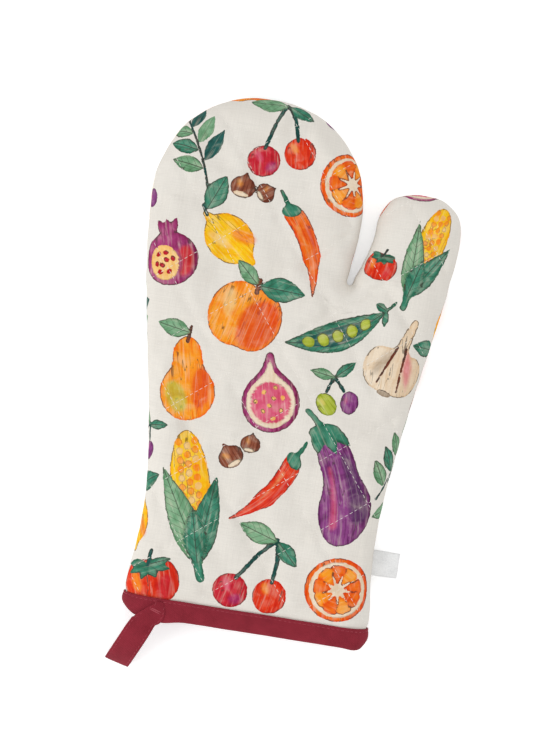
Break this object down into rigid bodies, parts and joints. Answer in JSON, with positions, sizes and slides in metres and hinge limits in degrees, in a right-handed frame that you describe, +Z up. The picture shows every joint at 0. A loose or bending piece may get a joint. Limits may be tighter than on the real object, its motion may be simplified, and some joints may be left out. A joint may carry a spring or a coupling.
{
  "type": "oven mitt",
  "caption": "Quilted cotton oven mitt with one thumb, a bound cuff, a hanging loop made from the binding's tail and a blank label in the side seam.",
  "frame": {"origin": "middle of the footprint, on the surface that the mitt lies on", "axes": "+Y from the cuff to the fingertips, +X to the thumb's side, +Z up from the back wall to the front wall"},
  "size_m": [0.1954, 0.362, 0.0252],
  "materials": {
    "printed_cotton": "printed plain-weave cotton, quilted, matte",
    "wadding": "loose cotton and polyester wadding",
    "lining_cotton": "unbleached plain-weave cotton, matte",
    "binding_cotton": "dyed cotton twill tape, matte",
    "label_satin": "woven satin tape, soft sheen",
    "overlock_thread": "spun polyester thread over raw cloth edges"
  },
  "bodies": {
    "mitt": {"front_outer": "printed_cotton", "front_wadding": "wadding", "front_lining": "lining_cotton", "back_outer": "printed_cotton", "back_wadding": "wadding", "back_lining": "lining_cotton", "overlocked_seam": "overlock_thread", "cuff_binding": "binding_cotton"},
    "loop": {"hanging_loop": "binding_cotton"},
    "label": {"side_label": "label_satin"}
  },
  "joints": [
    {"name": "loop_swing", "type": "hinge", "parent": "mitt", "child": "loop", "pos_m": [-0.0603, -0.1509, 0.02115], "axis": [-1, 0, 0], "range_deg": [-55, 124]},
    {"name": "label_flip", "type": "hinge", "parent": "mitt", "child": "label", "pos_m": [0.07628, -0.095, 0.009], "axis": [0, 1, 0], "range_deg": [-70, 70], "stiffness_Nm_per_rad": 0.0002}
  ]
}
